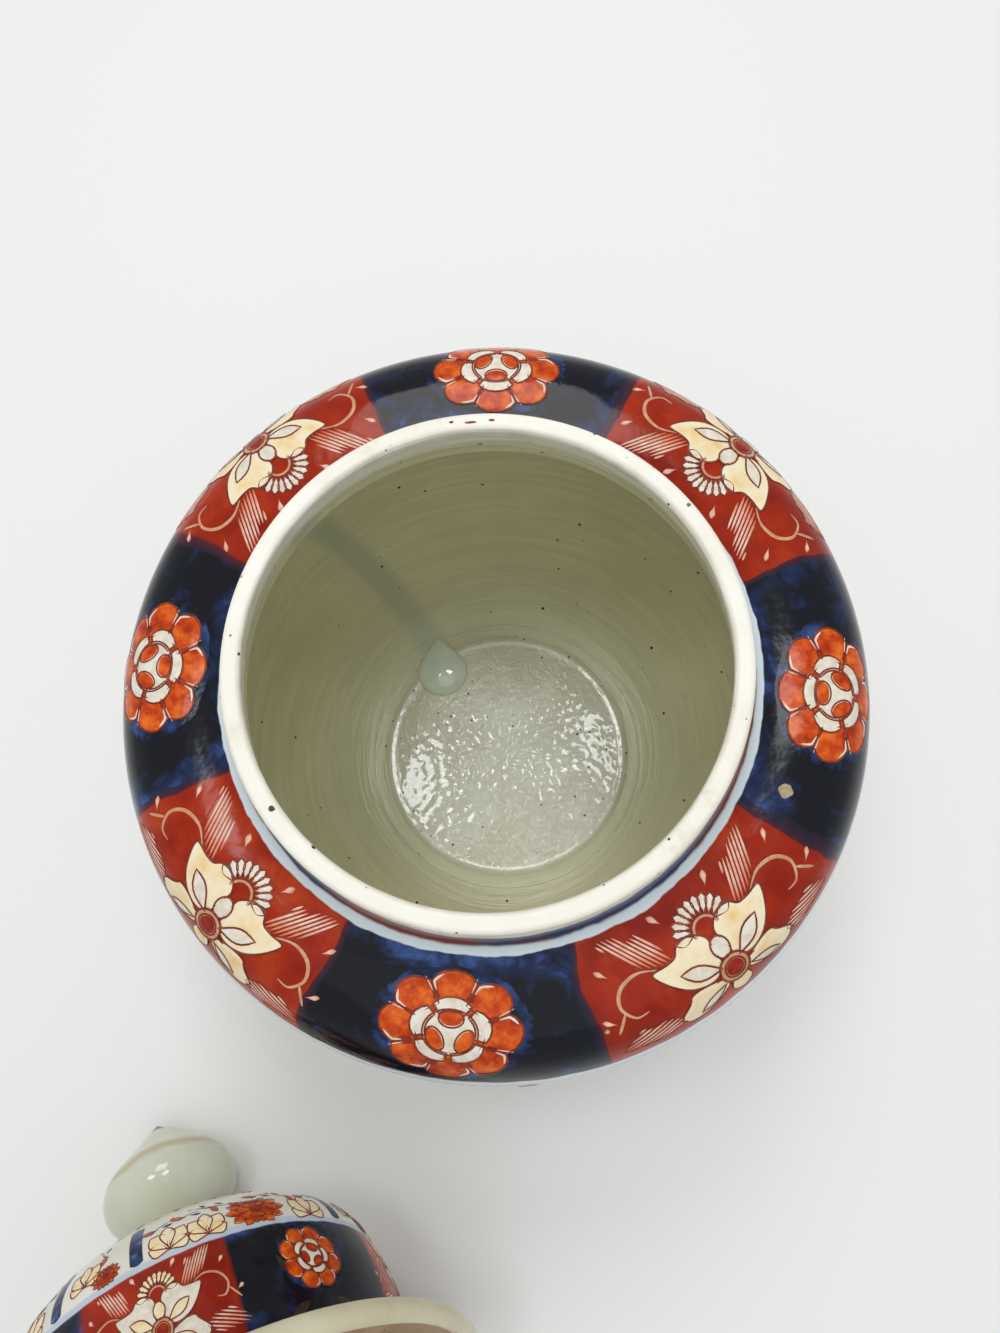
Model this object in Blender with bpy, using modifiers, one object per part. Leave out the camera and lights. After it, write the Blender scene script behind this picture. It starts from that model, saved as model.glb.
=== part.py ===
"""Porcelain ginger jar, open, with its cover taken off and lying beside it.

Three fired pieces: the thrown jar, the thrown domed cover, and the onion finial
that is thrown apart and luted into a socket on top of the cover. Metres, +Z up.
The origin is on the table, under the middle of the box around all three.
"""

from math import asin, cos, pi, radians, sin, sqrt

import bpy
from mathutils import Vector

# Jar: outside
JAR_HEIGHT = 0.1484
RIM_RADIUS = 0.060
RIM_EDGE = 0.0015
NECK_HEIGHT = 0.0152
NECK_FLARE = 0.0042
SHOULDER_FALL = radians(7)
BELLY_RADIUS = 0.0964
BELLY_HEIGHT = 0.0938
FOOT_RADIUS = 0.060
FOOT_WIDTH = 0.006
FOOT_DEPTH = 0.005
FOOT_EDGE = 0.001

# Jar: inside
RIM_WALL = 0.0047
JAR_WALL = 0.0055
BASE_THICKNESS = 0.0046
FLOOR_RADIUS = 0.0434

# Cover, drawn upright with its seat on the plane z = 0
LIP_DROP = 0.0012
LIP_PLAY = 0.006
FLANGE_LEDGE = 0.0038
FLANGE_HEIGHT = 0.005
FLANGE_EDGE = 0.0025
COLLAR_DEPTH = 0.009
COLLAR_WALL = 0.0035
COLLAR_PLAY = 0.0013
DOME_SETBACK = 0.0014
DOME_SWELL = 0.0018
DOME_SHOULDER_DRAW = 0.0006
DOME_SHOULDER_HEIGHT = 0.0374
CROWN_HEIGHT = 0.066
DOME_WALL = 0.0048
CROWN_WALL = 0.006

# Finial
BULB_RADIUS = 0.0204
BULB_RISE = 0.0137
BULB_LIFT = 0.0185
TIP_LIFT = 0.0241
STEM_RADIUS = 0.009
TENON_RADIUS = 0.006
TENON_LENGTH = 0.002
TIP_RADIUS = 0.0006

# Where the cover lies: the way to the middle of its seat from the jar's axis, how far
# that is past the jar's widest ring, and where the finial points
COVER_BEARING = radians(-118.343)
COVER_APART = 0.11403
COVER_AZIMUTH = radians(114.6)

CLEARANCE = 0.0003
JAR_STEPS = 64
FINIAL_STEPS = 40
MERGE = 0.00001

# Sizes that follow from the ones above
NECK_FOOT_RADIUS = RIM_RADIUS + NECK_FLARE
LIP_RADIUS = RIM_RADIUS + LIP_PLAY
FLANGE_RADIUS = LIP_RADIUS + FLANGE_LEDGE
COLLAR_RADIUS = RIM_RADIUS - RIM_WALL - COLLAR_PLAY
DOME_FOOT_RADIUS = COLLAR_RADIUS - DOME_SETBACK
DOME_SHOULDER_RADIUS = DOME_FOOT_RADIUS - DOME_SHOULDER_DRAW
BULB_CENTRE = CROWN_HEIGHT + BULB_LIFT


def ellipse(centre, radius, rise, start, end, count):
    """Points on an ellipse around centre, (r, z), between two angles in radians."""
    turns = [start + (end - start) * i / count for i in range(count + 1)]
    return [(centre[0] + radius * cos(a), centre[1] + rise * sin(a)) for a in turns]


def bezier(p0, p1, p2, p3, count):
    """Points on a cubic curve, both ends included."""
    points = []
    for i in range(count + 1):
        t = i / count
        s = 1 - t
        weights = (s**3, 3 * s * s * t, 3 * s * t * t, t**3)
        points.append(tuple(sum(w * p[k] for w, p in zip(weights, (p0, p1, p2, p3))) for k in (0, 1)))
    return points


def jar_side(inset):
    """Shoulder and upper belly, from the foot of the neck down to the widest ring."""
    neck_foot = JAR_HEIGHT - NECK_HEIGHT
    reach = 0.41 * (BELLY_RADIUS - NECK_FOOT_RADIUS)
    rise = 1.2 * (neck_foot - BELLY_HEIGHT)
    start = (NECK_FOOT_RADIUS - inset, neck_foot - 0.6 * inset)
    near = (start[0] + reach * cos(SHOULDER_FALL), start[1] - reach * sin(SHOULDER_FALL))
    end = (BELLY_RADIUS - inset, BELLY_HEIGHT)
    return bezier(start, near, (end[0], BELLY_HEIGHT + rise - inset), end, 8)


def jar_profile():
    """Closed section of the jar: up the inside from the floor, over the rim, down the outside."""
    floor = FOOT_DEPTH + BASE_THICKNESS
    mouth = RIM_RADIUS - RIM_WALL
    top = JAR_HEIGHT - RIM_EDGE
    inner_belly = BELLY_RADIUS - JAR_WALL
    inside = [(0, floor)]
    inside += bezier(
        (FLOOR_RADIUS, floor),
        (0.8 * inner_belly, floor + 0.004),
        (inner_belly, 0.55 * BELLY_HEIGHT),
        (inner_belly, BELLY_HEIGHT),
        9,
    )
    inside += jar_side(JAR_WALL)[::-1][1:]
    inside += ellipse((mouth + RIM_EDGE, top), RIM_EDGE, RIM_EDGE, pi, pi / 2, 3)
    outside = ellipse((RIM_RADIUS - RIM_EDGE, top), RIM_EDGE, RIM_EDGE, pi / 2, 0, 3)
    neck_foot = JAR_HEIGHT - NECK_HEIGHT
    flare = (RIM_RADIUS + 0.0008, neck_foot + 0.1 * NECK_HEIGHT)
    outside += bezier((RIM_RADIUS, top), (RIM_RADIUS, top - 0.4 * NECK_HEIGHT), flare,
                      (NECK_FOOT_RADIUS, neck_foot), 5)[1:]
    outside += jar_side(0)[1:]
    outside += bezier(
        (BELLY_RADIUS, BELLY_HEIGHT),
        (BELLY_RADIUS, 0.6 * BELLY_HEIGHT),
        (FOOT_RADIUS + 0.65 * (BELLY_RADIUS - FOOT_RADIUS), FOOT_DEPTH + 0.18 * BELLY_HEIGHT),
        (FOOT_RADIUS, FOOT_DEPTH),
        8,
    )[1:]
    inner_foot = FOOT_RADIUS - FOOT_WIDTH
    outside += [
        (FOOT_RADIUS, FOOT_EDGE),
        (FOOT_RADIUS - FOOT_EDGE, 0),
        (inner_foot + FOOT_EDGE, 0),
        (inner_foot, FOOT_EDGE),
        (inner_foot, FOOT_DEPTH),
        (0, FOOT_DEPTH),
    ]
    return inside + outside


def dome_side(wall, crown_wall):
    """Wall of the dome, up from the flange, in round the shoulder and on to the crown."""
    shoulder = (DOME_SHOULDER_RADIUS - wall, DOME_SHOULDER_HEIGHT - wall / 2)
    foot = (DOME_FOOT_RADIUS - wall, FLANGE_HEIGHT)
    widest = DOME_FOOT_RADIUS + DOME_SWELL - wall
    crown = (STEM_RADIUS, CROWN_HEIGHT - crown_wall)
    rise = shoulder[1] - foot[1]
    top = crown[1] - shoulder[1]
    wide = shoulder[0] - crown[0]
    side = bezier(foot, (widest, foot[1] + 0.4 * rise), (widest, foot[1] + 0.7 * rise), shoulder, 5)
    near = (shoulder[0] - 0.02 * wide, shoulder[1] + 0.47 * top)
    far = (crown[0] + 0.57 * wide, crown[1] - 0.15 * top)
    return side + bezier(shoulder, near, far, crown, 9)[1:]


def cover_profile():
    """Closed section of the cover: down the outside from the crown, and up the inside."""
    collar_end = COLLAR_WALL / 2
    socket = TENON_RADIUS + CLEARANCE
    socket_floor = CROWN_HEIGHT - TENON_LENGTH - CLEARANCE
    crown = [(0, socket_floor), (socket, socket_floor), (socket, CROWN_HEIGHT)]
    dome = dome_side(0, 0)[::-1]
    edge_centre = (FLANGE_RADIUS - FLANGE_EDGE, (FLANGE_HEIGHT - LIP_DROP) / 2)
    edge = ellipse(edge_centre, FLANGE_EDGE, (FLANGE_HEIGHT + LIP_DROP) / 2, pi / 2, -pi / 2, 8)
    underside = [(LIP_RADIUS + LIP_DROP, -LIP_DROP), (LIP_RADIUS, 0), (COLLAR_RADIUS, 0)]
    collar_centre = (COLLAR_RADIUS - collar_end, collar_end - COLLAR_DEPTH)
    collar_round = ellipse(collar_centre, collar_end, collar_end, 0, -pi, 6)
    inside = dome_side(DOME_WALL, CROWN_WALL) + [(0, CROWN_HEIGHT - CROWN_WALL)]
    return crown + dome + edge + underside + collar_round + inside


def finial_profile():
    """Closed section of the finial, from its tip down round the bulb to the tenon."""
    shoulder_angle = asin(BULB_RISE / TIP_LIFT)
    tip = BULB_CENTRE + TIP_LIFT
    stem = CROWN_HEIGHT + CLEARANCE
    stem_angle = -asin(sqrt(1 - (STEM_RADIUS / BULB_RADIUS) ** 2))
    bulb = ellipse((0, BULB_CENTRE), BULB_RADIUS, BULB_RISE, shoulder_angle, stem_angle, 14)
    return [
        (0, tip),
        (TIP_RADIUS, tip - TIP_RADIUS / 2),
        *bulb,
        (STEM_RADIUS, stem),
        (TENON_RADIUS, stem),
        (TENON_RADIUS, stem - TENON_LENGTH),
        (0, stem - TENON_LENGTH),
    ]


def reach(profile, tilt):
    """How far a turned section reaches towards a table when its axis dips by tilt."""
    return max(r * cos(tilt) + z * sin(tilt) for r, z in profile)


def resting_tilt(cover, finial):
    """Dip of the axis at which the cover and its finial both touch the table, by bisection."""
    low, high = 0.0, radians(60)
    for _ in range(40):
        middle = (low + high) / 2
        if reach(finial, middle) < reach(cover, middle):
            low = middle
        else:
            high = middle
    return low


def material(name, colour, roughness):
    """Glazed porcelain of one colour."""
    made = bpy.data.materials.new(name)
    made.use_nodes = True
    shader = made.node_tree.nodes["Principled BSDF"]
    shader.inputs["Base Color"].default_value = (*colour, 1)
    shader.inputs["Roughness"].default_value = roughness
    shader.inputs["Metallic"].default_value = 0.0
    return made


def turned(name, profile, steps, finish, collection):
    """A solid of revolution about its own Z axis, from a section that ends on the axis."""
    mesh = bpy.data.meshes.new(name)
    edges = [(i, i + 1) for i in range(len(profile) - 1)]
    mesh.from_pydata([(r, 0, z) for r, z in profile], edges, [])
    solid = bpy.data.objects.new(name, mesh)
    collection.objects.link(solid)
    mesh.materials.append(finish)
    screw = solid.modifiers.new("Turn", "SCREW")
    screw.steps = steps
    screw.render_steps = steps
    screw.use_merge_vertices = True
    screw.merge_threshold = MERGE
    screw.use_smooth_shade = True
    return solid


def layout_middle(solids):
    """Middle, in plan, of the box around the evaluated solids."""
    bpy.context.view_layer.update()
    graph = bpy.context.evaluated_depsgraph_get()
    corners = []
    for solid in solids:
        built = solid.evaluated_get(graph)
        corners += [built.matrix_world @ vertex.co for vertex in built.data.vertices]
    xs = [corner.x for corner in corners]
    ys = [corner.y for corner in corners]
    return Vector(((min(xs) + max(xs)) / 2, (min(ys) + max(ys)) / 2, 0))


def main():
    for old in list(bpy.data.objects):
        bpy.data.objects.remove(old, do_unlink=True)
    collection = bpy.data.collections.new("ginger_jar")
    bpy.context.scene.collection.children.link(collection)

    painted = material("painted_porcelain", (0.62, 0.20, 0.12), 0.15)
    cover_glaze = material("cover_porcelain", (0.70, 0.30, 0.20), 0.15)
    celadon = material("finial_glaze", (0.62, 0.64, 0.55), 0.12)

    jar = turned("jar_body", jar_profile(), JAR_STEPS, painted, collection)
    cover = turned("lid_cover", cover_profile(), JAR_STEPS, cover_glaze, collection)
    finial = turned("lid_finial", finial_profile(), FINIAL_STEPS, celadon, collection)

    # The cover lies as one with its finial, on the round of its dome and on the bulb.
    tilt = resting_tilt(cover_profile(), finial_profile())
    cover_frame = bpy.data.objects.new("cover_frame", None)
    collection.objects.link(cover_frame)
    cover_frame.rotation_euler = (0, pi / 2 + tilt, COVER_AZIMUTH)
    away = BELLY_RADIUS + COVER_APART
    seat_height = reach(cover_profile(), tilt)
    cover_frame.location = (away * cos(COVER_BEARING), away * sin(COVER_BEARING), seat_height)
    cover.parent = cover_frame
    finial.parent = cover_frame

    middle = layout_middle((jar, cover, finial))
    jar.location -= middle
    cover_frame.location -= middle


main()
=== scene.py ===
"""Looks of a porcelain ginger jar, open, with its cover lying beside it."""
import math
from bisect import bisect_left

import bpy
from mathutils import Matrix, Vector, geometry, noise


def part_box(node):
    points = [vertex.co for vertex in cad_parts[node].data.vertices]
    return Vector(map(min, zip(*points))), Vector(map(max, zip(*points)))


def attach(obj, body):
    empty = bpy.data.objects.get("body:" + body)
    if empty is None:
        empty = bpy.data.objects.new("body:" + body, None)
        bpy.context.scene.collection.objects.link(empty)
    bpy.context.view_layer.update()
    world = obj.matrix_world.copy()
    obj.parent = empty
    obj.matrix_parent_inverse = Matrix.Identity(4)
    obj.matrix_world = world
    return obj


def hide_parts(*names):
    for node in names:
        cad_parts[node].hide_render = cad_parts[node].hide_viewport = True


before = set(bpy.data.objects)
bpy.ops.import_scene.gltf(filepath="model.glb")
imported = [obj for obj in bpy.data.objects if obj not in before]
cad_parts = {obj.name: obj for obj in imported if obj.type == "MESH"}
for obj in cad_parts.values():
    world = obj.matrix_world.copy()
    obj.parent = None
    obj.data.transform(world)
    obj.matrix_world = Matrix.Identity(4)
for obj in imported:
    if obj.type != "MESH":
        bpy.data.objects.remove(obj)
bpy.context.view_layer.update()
bpy.ops.object.select_all(action="DESELECT")

# The eye looks down into the jar from a hand's height above the near side of its rim.
# The jar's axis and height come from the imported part, and the view hangs on them.
jar_low, jar_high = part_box("jar_body")
JAR_AXIS = Vector(((jar_low.x + jar_high.x) / 2, (jar_low.y + jar_high.y) / 2, 0))
JAR_HEIGHT = jar_high.z
EYE = JAR_AXIS + Vector((0.0030, -0.0564, JAR_HEIGHT + 0.2151))
TIP_FORWARD, ROLL = math.radians(13.993), math.radians(-9.838)
bpy.ops.object.camera_add(location=EYE)
camera = bpy.context.object
tip_and_roll = Matrix.Rotation(TIP_FORWARD, 3, "X") @ Matrix.Rotation(ROLL, 3, "Z")
camera.rotation_euler = tip_and_roll.to_euler()
camera.data.sensor_width = 36
camera.data.lens = 27.0
camera.data.clip_start = 0.01
bpy.context.scene.camera = camera

# Soft daylight from a white room, a strong soft panel overhead and behind, and weaker ones
# at the sides and in front. They are what shines back from the pool of glaze inside.
bpy.context.scene.view_settings.view_transform = "Standard"
room = bpy.data.worlds.new("white_room")
bpy.context.scene.world = room
room.use_nodes = True
room.node_tree.nodes["Background"].inputs["Color"].default_value = (0.97, 0.985, 1.0, 1)
room.node_tree.nodes["Background"].inputs["Strength"].default_value = 0.665


def soft_panel(where, aim, size, power, colour):
    """A square area light that faces a point."""
    bpy.ops.object.light_add(type="AREA", location=where)
    panel = bpy.context.object
    panel.rotation_euler = (aim - where).to_track_quat("-Z", "Y").to_euler()
    panel.data.size = size
    panel.data.energy = power
    panel.data.color = colour


POOL = JAR_AXIS + Vector((0, 0, 0.010))
soft_panel(JAR_AXIS + Vector((0.06, 0.80, 1.35)), POOL, 0.50, 4.6, (1.0, 0.98, 0.95))
soft_panel(JAR_AXIS + Vector((-0.27, 0.17, 1.25)), POOL, 0.24, 1.7, (0.97, 0.99, 1.0))
soft_panel(JAR_AXIS + Vector((0.26, 0.19, 1.25)), POOL, 0.24, 1.6, (0.97, 0.99, 1.0))
soft_panel(JAR_AXIS + Vector((0.0, -0.60, 1.40)), POOL, 1.20, 2.2, (1.0, 0.99, 0.97))

# Pale sheet that everything stands on, with the faintest mottling of a painted board.
bpy.ops.mesh.primitive_plane_add(size=6, location=(0, 0, 0))
sheet = bpy.context.object
sheet.name = "table_sheet"
board = bpy.data.materials.new("pale_board")
board.use_nodes = True
tree = board.node_tree
shader = tree.nodes["Principled BSDF"]
mottle = tree.nodes.new("ShaderNodeTexNoise")
mottle.inputs["Scale"].default_value = 9.0
ramp = tree.nodes.new("ShaderNodeValToRGB")
ramp.color_ramp.elements[0].color = (0.800, 0.808, 0.796, 1)
ramp.color_ramp.elements[1].color = (0.825, 0.830, 0.815, 1)
tree.links.new(mottle.outputs["Fac"], ramp.inputs["Fac"])
tree.links.new(ramp.outputs["Color"], shader.inputs["Base Color"])
shader.inputs["Roughness"].default_value = 0.6
shader.inputs["Specular IOR Level"].default_value = 0.2
sheet.data.materials.append(board)

# The jar is thrown porcelain: one wall from the floor up to a bare flat rim, and down
# over the neck, shoulder and belly to a turned foot ring. Metres, the axis upright.
RIM_RADIUS, RIM_WALL, RIM_EDGE = 0.060, 0.0047, 0.0015
NECK_HEIGHT, NECK_FOOT_RADIUS, SHOULDER_FALL = 0.0152, 0.0642, math.radians(7)
BELLY_RADIUS, BELLY_HEIGHT, JAR_WALL = 0.0964, 0.0938, 0.0055
FOOT_RADIUS, FOOT_WIDTH, FOOT_DEPTH, FOOT_EDGE = 0.060, 0.006, 0.005, 0.001
FLOOR_RADIUS, FLOOR_HEIGHT = 0.0434, 0.0096
NECK_FOOT = JAR_HEIGHT - NECK_HEIGHT
ROUND = 0.5523


def straight(start, end):
    """A straight stretch of a section, as the four points of a cubic."""
    (r0, z0), (r1, z1) = start, end
    return [start, ((2 * r0 + r1) / 3, (2 * z0 + z1) / 3), ((r0 + 2 * r1) / 3, (z0 + 2 * z1) / 3), end]


def corner(start, knee, end):
    """A quarter round between two points, bulging towards the knee."""
    reach = [[p[k] + (knee[k] - p[k]) * ROUND for k in (0, 1)] for p in (start, end)]
    return [start, reach[0], reach[1], end]


def jar_side(inset):
    """Shoulder and upper belly, from the foot of the neck down to the widest ring."""
    reach = 0.41 * (BELLY_RADIUS - NECK_FOOT_RADIUS)
    rise = 1.2 * (NECK_FOOT - BELLY_HEIGHT)
    start = (NECK_FOOT_RADIUS - inset, NECK_FOOT - 0.6 * inset)
    near = (start[0] + reach * math.cos(SHOULDER_FALL), start[1] - reach * math.sin(SHOULDER_FALL))
    end = (BELLY_RADIUS - inset, BELLY_HEIGHT)
    return [start, near, (end[0], BELLY_HEIGHT + rise - inset), end]


def thrown(name, stretches, fineness, steps):
    """Draws a section as one Bezier line in the XZ plane, makes it edges and spins them round Z."""
    bpy.ops.curve.primitive_bezier_curve_add(location=(0, 0, 0))
    line = bpy.context.object
    spline = line.data.splines[0]
    spline.bezier_points.add(len(stretches) - 1)
    knots = [stretches[0][0]] + [stretch[3] for stretch in stretches]
    for point, (r, z) in zip(spline.bezier_points, knots):
        point.handle_left_type = point.handle_right_type = "FREE"
        point.co = point.handle_left = point.handle_right = (r, 0, z)
    for i, (_, out, back, _) in enumerate(stretches):
        spline.bezier_points[i].handle_right = (out[0], 0, out[1])
        spline.bezier_points[i + 1].handle_left = (back[0], 0, back[1])
    line.data.resolution_u = fineness
    bpy.ops.object.convert(target="MESH")
    bpy.ops.object.mode_set(mode="EDIT")
    bpy.ops.mesh.select_all(action="SELECT")
    bpy.ops.mesh.spin(steps=steps, angle=2 * math.pi, center=(0, 0, 0), axis=(0, 0, 1))
    bpy.ops.mesh.select_all(action="SELECT")
    bpy.ops.mesh.remove_doubles(threshold=0.000002)
    bpy.ops.mesh.normals_make_consistent(inside=False)
    bpy.ops.object.mode_set(mode="OBJECT")
    bpy.ops.object.shade_smooth_by_angle(angle=math.radians(40))
    piece = bpy.context.object
    piece.name = name
    return piece


mouth = RIM_RADIUS - RIM_WALL
inner_belly = BELLY_RADIUS - JAR_WALL
rim_low = JAR_HEIGHT - RIM_EDGE
inner_foot = FOOT_RADIUS - FOOT_WIDTH
inner_side = jar_side(JAR_WALL)[::-1]
SHOULDER_LINE = jar_side(0)
BELLY_LINE = [
    (BELLY_RADIUS, BELLY_HEIGHT),
    (BELLY_RADIUS, 0.6 * BELLY_HEIGHT),
    (FOOT_RADIUS + 0.65 * (BELLY_RADIUS - FOOT_RADIUS), FOOT_DEPTH + 0.18 * BELLY_HEIGHT),
    (FOOT_RADIUS, FOOT_DEPTH),
]
jar = thrown("jar_wall", [
    straight((0, FLOOR_HEIGHT), (FLOOR_RADIUS, FLOOR_HEIGHT)),
    [(FLOOR_RADIUS, FLOOR_HEIGHT), (0.8 * inner_belly, FLOOR_HEIGHT + 0.004),
     (inner_belly, 0.55 * BELLY_HEIGHT), (inner_belly, BELLY_HEIGHT)],
    inner_side,
    straight(inner_side[3], (mouth, rim_low)),
    corner((mouth, rim_low), (mouth, JAR_HEIGHT), (mouth + RIM_EDGE, JAR_HEIGHT)),
    straight((mouth + RIM_EDGE, JAR_HEIGHT), (RIM_RADIUS - RIM_EDGE, JAR_HEIGHT)),
    corner((RIM_RADIUS - RIM_EDGE, JAR_HEIGHT), (RIM_RADIUS, JAR_HEIGHT), (RIM_RADIUS, rim_low)),
    [(RIM_RADIUS, rim_low), (RIM_RADIUS, rim_low - 0.4 * NECK_HEIGHT),
     (RIM_RADIUS + 0.0008, NECK_FOOT + 0.1 * NECK_HEIGHT), (NECK_FOOT_RADIUS, NECK_FOOT)],
    SHOULDER_LINE,
    BELLY_LINE,
    straight((FOOT_RADIUS, FOOT_DEPTH), (FOOT_RADIUS, FOOT_EDGE)),
    corner((FOOT_RADIUS, FOOT_EDGE), (FOOT_RADIUS, 0), (FOOT_RADIUS - FOOT_EDGE, 0)),
    straight((FOOT_RADIUS - FOOT_EDGE, 0), (inner_foot + FOOT_EDGE, 0)),
    corner((inner_foot + FOOT_EDGE, 0), (inner_foot, 0), (inner_foot, FOOT_EDGE)),
    straight((inner_foot, FOOT_EDGE), (inner_foot, FOOT_DEPTH)),
    straight((inner_foot, FOOT_DEPTH), (0, FOOT_DEPTH)),
], 20, 240)
JAR_SEAT = Matrix.Translation(JAR_AXIS)
jar.data.transform(JAR_SEAT)

# Fired surface of the jar: a clear glossy glaze over cobalt washes and iron-red panels on
# the shoulder, white porcelain below, bare cream clay at the rim and grey-green inside.
PANEL_EDGES = (-127.3, -83.4, -37.4, 10.1, 55.5, 102.8, 145.8, 191.5)


class Recipe:
    """Node material that is built up from small steps, each a node and what feeds it."""

    def __init__(self, name):
        self.material = bpy.data.materials.new(name)
        self.material.use_nodes = True
        self.tree = self.material.node_tree
        self.shader = self.tree.nodes["Principled BSDF"]

    def feed(self, socket, value):
        if isinstance(value, bpy.types.NodeSocket):
            self.tree.links.new(value, socket)
        else:
            socket.default_value = value

    def place(self, seat):
        """Object coordinates, seen from a piece's own seat."""
        coordinates = self.tree.nodes.new("ShaderNodeTexCoord")
        seen = self.tree.nodes.new("ShaderNodeMapping")
        seen.vector_type = "TEXTURE"
        seen.inputs["Location"].default_value = seat.to_translation()
        seen.inputs["Rotation"].default_value = seat.to_euler()
        self.tree.links.new(coordinates.outputs["Object"], seen.inputs["Vector"])
        return seen.outputs["Vector"]

    def parts(self, vector):
        split = self.tree.nodes.new("ShaderNodeSeparateXYZ")
        self.feed(split.inputs[0], vector)
        return split.outputs

    def sum(self, kind, *values):
        step = self.tree.nodes.new("ShaderNodeMath")
        step.operation = kind
        for socket, value in zip(step.inputs, values):
            self.feed(socket, value)
        return step.outputs[0]

    def plus(self, first, second):
        return self.sum("ADD", first, second)

    def minus(self, first, second):
        return self.sum("SUBTRACT", first, second)

    def times(self, first, second):
        return self.sum("MULTIPLY", first, second)

    def either(self, first, second):
        return self.sum("MAXIMUM", first, second)

    def rest_of(self, share):
        return self.minus(1.0, share)

    def radius(self, x, y):
        return self.sum("SQRT", self.plus(self.times(x, x), self.times(y, y)))

    def step(self, value, low, high):
        """0 under low, 1 over high and smooth between."""
        step = self.tree.nodes.new("ShaderNodeMapRange")
        step.interpolation_type = "SMOOTHSTEP"
        for name, given in (("Value", value), ("From Min", low), ("From Max", high)):
            self.feed(step.inputs[name], given)
        return step.outputs[0]

    def band(self, value, low, high, soft):
        """1 between low and high."""
        return self.times(self.step(value, low - soft, low + soft),
                          self.rest_of(self.step(value, high - soft, high + soft)))

    def noise(self, vector, scale, detail=3.0, rough=0.5, twist=0.0):
        cloud = self.tree.nodes.new("ShaderNodeTexNoise")
        self.feed(cloud.inputs["Vector"], vector)
        given = {"Scale": scale, "Detail": detail, "Roughness": rough, "Distortion": twist}
        for name, value in given.items():
            cloud.inputs[name].default_value = value
        return cloud.outputs["Fac"]

    def waver(self, vector, scale, reach, detail=2.0, rough=0.5):
        """Noise that swings as far under 0 as over it, reach wide in all."""
        return self.times(self.minus(self.noise(vector, scale, detail, rough), 0.5), reach)

    def specks(self, vector, scale, share, size):
        """Sparse round specks: 1 inside each."""
        cells = self.tree.nodes.new("ShaderNodeTexVoronoi")
        self.feed(cells.inputs["Vector"], vector)
        cells.inputs["Scale"].default_value = scale
        draw = self.parts(cells.outputs["Color"])
        chosen = self.step(draw[0], 1 - share, 1 - share + 0.02)
        reach = self.times(draw[1], size)
        far = self.step(cells.outputs["Distance"], self.times(reach, 0.7), reach)
        return self.times(chosen, self.rest_of(far))

    def mix(self, share, first, second):
        blend = self.tree.nodes.new("ShaderNodeMix")
        blend.data_type = "RGBA"
        self.feed(blend.inputs[0], share)
        self.feed(blend.inputs[6], first)
        self.feed(blend.inputs[7], second)
        return blend.outputs[2]

    def ramp(self, value, *stops):
        """Colours along a value, each stop a place and a red, green and blue."""
        line = self.tree.nodes.new("ShaderNodeValToRGB")
        while len(line.color_ramp.elements) < len(stops):
            line.color_ramp.elements.new(0.5)
        for element, (where, r, g, b) in zip(line.color_ramp.elements, stops):
            element.position = where
            element.color = (r, g, b, 1)
        self.feed(line.inputs["Fac"], value)
        return line.outputs["Color"]

    def bump(self, height, depth, before=None):
        swell = self.tree.nodes.new("ShaderNodeBump")
        swell.inputs["Strength"].default_value = 1.0
        swell.inputs["Distance"].default_value = depth
        self.feed(swell.inputs["Height"], height)
        if before:
            self.feed(swell.inputs["Normal"], before)
        return swell.outputs["Normal"]

    def fire(self, colour, roughness, specular=0.5, normal=None):
        """Gives the shader what the recipe comes to."""
        self.feed(self.shader.inputs["Base Color"], colour)
        self.feed(self.shader.inputs["Roughness"], roughness)
        self.shader.inputs["Specular IOR Level"].default_value = specular
        if normal:
            self.feed(self.shader.inputs["Normal"], normal)


def paint(r, g, b):
    return (r, g, b, 1.0)


def turned_by(recipe, across, along, edges):
    """Angle round an axis in turns, 0 to 1, starting at the first panel edge."""
    angle = recipe.sum("ARCTAN2", along, across)
    turns = recipe.sum("DIVIDE", recipe.minus(angle, math.radians(edges[0])), 2 * math.pi)
    return recipe.sum("FRACT", recipe.plus(turns, 1.0))


def panel_share(recipe, turns, edges, soft):
    """1 on the cobalt panels and 0 on the red ones, blended over a soft width in degrees."""
    half = soft / 720
    stops = [(0.0, 1)]
    for i, edge in enumerate(edges[1:]):
        where = (edge - edges[0]) / 360
        stops += [(where - half, 1 - i % 2), (where + half, i % 2)]
    stops += [(1.0 - half, 0), (1.0, 1)]
    return recipe.ramp(turns, *[(where, grey, grey, grey) for where, grey in stops])


def edge_near(recipe, turns, edges, soft):
    """1 at the panels' edges, falling to 0 inside them."""
    share = panel_share(recipe, turns, edges, soft)
    return recipe.rest_of(recipe.sum("ABSOLUTE", recipe.minus(recipe.times(share, 2.0), 1.0)))


cobalt_dark, cobalt_mid, cobalt_bright = (0.0065, 0.0075, 0.012), (0.012, 0.024, 0.075), (0.05, 0.11, 0.34)
iron_deep, iron_red, iron_thin = (0.21, 0.009, 0.002), (0.31, 0.019, 0.003), (0.44, 0.046, 0.009)


def cobalt_wash(recipe, spot, edge):
    """Near-black cobalt that thins to bright blue in streaks, most of all along its edges."""
    cloud = recipe.noise(spot, 95.0, 5.0, 0.6, 0.8)
    lift = recipe.plus(cloud, recipe.times(edge, 0.16))
    return recipe.ramp(lift, (0.56, *cobalt_dark), (0.70, *cobalt_mid), (0.88, *cobalt_bright))


def red_wash(recipe, spot):
    """Iron-red enamel, thicker and darker in clouds."""
    cloud = recipe.noise(spot, 60.0, 4.0, 0.6, 0.3)
    return recipe.ramp(cloud, (0.34, *iron_deep), (0.52, *iron_red), (0.72, *iron_thin))


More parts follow.
